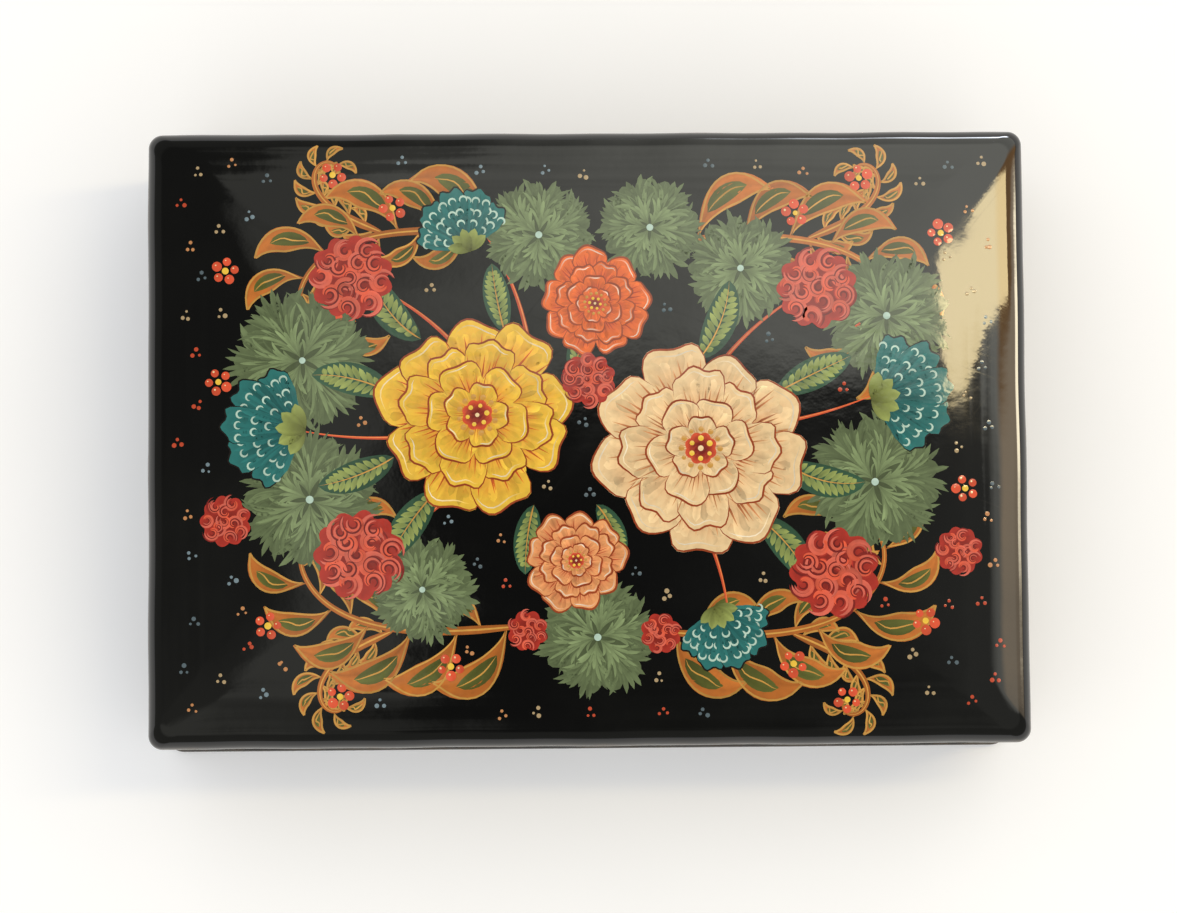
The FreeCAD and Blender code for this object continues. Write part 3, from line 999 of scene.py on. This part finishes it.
def berries(x, y):
    """A small ring of round touches, each with a light on it."""
    bx, by = aimed(x, y, 1.35, spaced(5) + hand.uniform(0, 1)).T
    dots(RED, bx, by, 0.68, PAINT["coral"] * hand.uniform(0.8, 1.05, (5, 1)))
    dots(FINE, bx - 0.18, by + 0.2, 0.16, PAINT["cream"])
    dots(FINE, x, y, 0.45, PAINT["yellow"])


print("scrolls, stems and berries ready")

# %% [markdown]
# ## Setting out the bouquet
# Scrolls and stems go down first, then sprays and leaves, then the flowers, and last the dots.
# Pale masses sit near the middle, green and teal ones round them, and red curls between.

# %% Scrolls and stems
SCROLLS = (
    (-7, -27, 74, 3.25, -1), (7, -28, 76, -0.1, 1), (-10, 29, 68, 3.05, 1), (11, 28, 72, 0.08, -1),
)
STEMS = (
    ((-14, 2), (-42, 1), 0.08), ((14, 1), (42, 6), -0.08), ((-14, 6), (-34, 23), -0.12),
    ((14, 2), (34, 22), 0.12), ((-14, -2), (-34, -17), 0.1), ((15, -4), (35, -19), -0.1),
    ((-8, 8), (-16, 31), -0.1), ((12, -6), (20, -29), 0.1),
)
eyes = [scroll(*spot) for spot in SCROLLS]
for eye in eyes:
    berries(*eye)
for spot in STEMS:
    stem(*spot)
report("scrolls and stems")

# %% Sprays and leaves
SPRAYS = (
    (-41, 11, 11.0), (-40, -9, 10.5), (41, -7, 10.5), (43, 17, 10.0), (1, -29, 9.0),
    (-7, 29, 8.5), (9, 30, 8.0), (-24, -22, 8.0), (22, 24, 8.5),
)
LEAVES = (
    (-28, 6, 12, 2.9), (-28, -3, 11.5, 3.5), (-22, -8, 12, 4.1), (-24, 14, 12, 2.2),
    (27, 6, 12, 0.45), (28, -4, 12, -0.25), (24, -12, 12, -0.9), (16, 11, 12, 1.2),
    (-12, 15, 10, 1.75), (-8, -10, 10, -1.7), (-2, 8, 9, 1.3), (1, -10, 9, -1.2),
)
for spot in SPRAYS:
    spray(*spot, hand.uniform(0, 6))
for spot in LEAVES:
    leaf(*spot, hand.uniform(-0.16, 0.16))
report("sprays and leaves")

# %% Flowers
BELLS = ((-41, 1, 11.5, 3.05), (41, 5, 11.5, 0.2), (18, -25, 9.0, -1.2), (-17, 27, 9.0, 1.9))
ROSETTES = (
    (-34, 23, 5.6, 9), (35, -20, 6.0, 9), (-33, -17, 6.0, 9), (33, 21, 5.4, 9),
    (-52, -12, 3.4, 7), (53, -17, 3.2, 7), (-9, -28, 2.7, 6), (10, -28.5, 2.7, 6),
)
BERRIES = (
    (-46, -27), (48, -27), (-52, 24), (51, 29), (30, 32),
    (-28, 33), (-20, -33), (29, -33), (-53, 8), (54, -8),
)
for spot in BELLS:
    bell(*spot)
for spot in ROSETTES:
    rosette(*spot)
blossom(-16, 3, 14.0, PAINT["orange"] * 0.9, PAINT["yellow"], 0.2)
blossom(16, -2, 14.6, PAINT["peach"] * 0.85, PAINT["cream"], 0.5)
blossom(1, 19, 7.8, PAINT["red"] * 0.9, PAINT["orange"], 0.9)
blossom(-2, -18, 7.2, PAINT["coral"] * 0.8, PAINT["peach"], 0.1)
rosette(0, 8, 3.6, 8)
for spot in BERRIES:
    berries(*spot)
report("flowers")

# %% Triple dots on the black
# Places are thrown at random. One is kept where it is clear of the paint, of the others and of the
# shoulder.
THROWS, CLEAR_OF_PAINT, CLEAR_OF_DOTS, CLEAR_OF_EDGE = 2600, 1.7, 4.6, 4.0
DOTS = (("peach", 0.65), ("cream", 0.5), ("steel", 1.1), ("coral", 0.7), ("steel", 0.6))
painted_points = np.concatenate(
    [place_of[..., :2].reshape(-1, 2) for batches in pots.values() for place_of, _ in batches]
)
spots = np.zeros((0, 2))
for throw in hand.uniform((-59, -40), (59, 40), (THROWS, 2)):
    clear = np.hypot(*(painted_points - throw).T).min() > CLEAR_OF_PAINT
    clear = clear and inset(*throw) > CLEAR_OF_EDGE
    if clear and (not len(spots) or np.hypot(*(spots - throw).T).min() > CLEAR_OF_DOTS):
        spots = np.vstack([spots, throw])
kinds = np.array([PAINT[name] * shade for name, shade in DOTS])
tints = kinds[hand.integers(0, len(kinds), len(spots))]
for corner in range(3):
    angle = np.pi / 2 + corner * 2 * np.pi / 3 + hand.normal(0, 0.3, len(spots))
    size = 0.28 * hand.uniform(0.75, 1.15, len(spots))
    dots(FINE, *aimed(*spots.T, 0.58, angle).T, size, tints)
report(f"{len(spots)} triple dots")


# %% Paint laid on the lid
def painted(name, batches):
    """One mesh from batches of grids. A face joins four neighbours, and is turned round where it
    looks down."""
    points, colours, faces, start = [], [], [], 0
    for place_of, tint in batches:
        number = start + np.arange(place_of[..., 0].size).reshape(place_of.shape[:3])
        near, far = number[:, :-1], number[:, 1:]
        quads = np.stack([near[..., :-1], far[..., :-1], far[..., 1:], near[..., 1:]], -1)
        points.append(place_of.reshape(-1, 3))
        colours.append(tint.reshape(-1, 3))
        faces.append(quads.reshape(-1, 4))
        start += number.size
    points, faces = np.concatenate(points), np.concatenate(faces)
    colours = np.clip(np.concatenate(colours), 0, 1)
    first = points[faces[:, 2]] - points[faces[:, 0]]
    second = points[faces[:, 3]] - points[faces[:, 1]]
    down = first[:, 0] * second[:, 1] - first[:, 1] * second[:, 0] < 0
    faces[down] = faces[down][:, ::-1]
    mesh = smooth_mesh(name, points, faces.tolist())
    held = mesh.color_attributes.new("tint", "FLOAT_COLOR", "POINT")
    opaque = np.ones((len(colours), 1))
    held.data.foreach_set("color", np.concatenate([colours, opaque], 1).ravel())
    return put(name, mesh)


tempera, tree, surface, where = new_material("varnished_tempera")
tint = add(tree, "Attribute", attribute_name="tint").outputs["Color"]
thin = ramp(tree, noise(tree, where, 900.0, 3.0), 0.35, 0.75, 0.0, 0.14)
colour = mix(tree, thin, tint, (0.02, 0.015, 0.01, 1))
rough = plus(tree, 0.045, times(tree, place(tree, "dust", where)["Haze"], 0.04))
waves = place(tree, "rubbed_waves", where, {"Brush": 0.3})["Height"]
dress(tree, surface, colour, rough, waves, 0.00004)
for name, batches in pots.items():
    made = painted(name, batches)
    made.data.materials.append(tempera)
    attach(made, "lid")
    highest = max(vertex.co.z for vertex in made.data.vertices) / MM
    print(name, "faces", len(made.data.polygons), "highest", round(highest, 3), "mm")

# %% [markdown]
# ## Sizes
# The paint stands up to 0.2 mm above the box that the solids fill, so how much the box grew is
# printed.

# %% Print how much the box grew
box_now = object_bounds()
grown = [[round((b - a) / MM, 3) for a, b in zip(*corners)] for corners in zip(cad_box, box_now)]
print("grown by", grown, "mm")
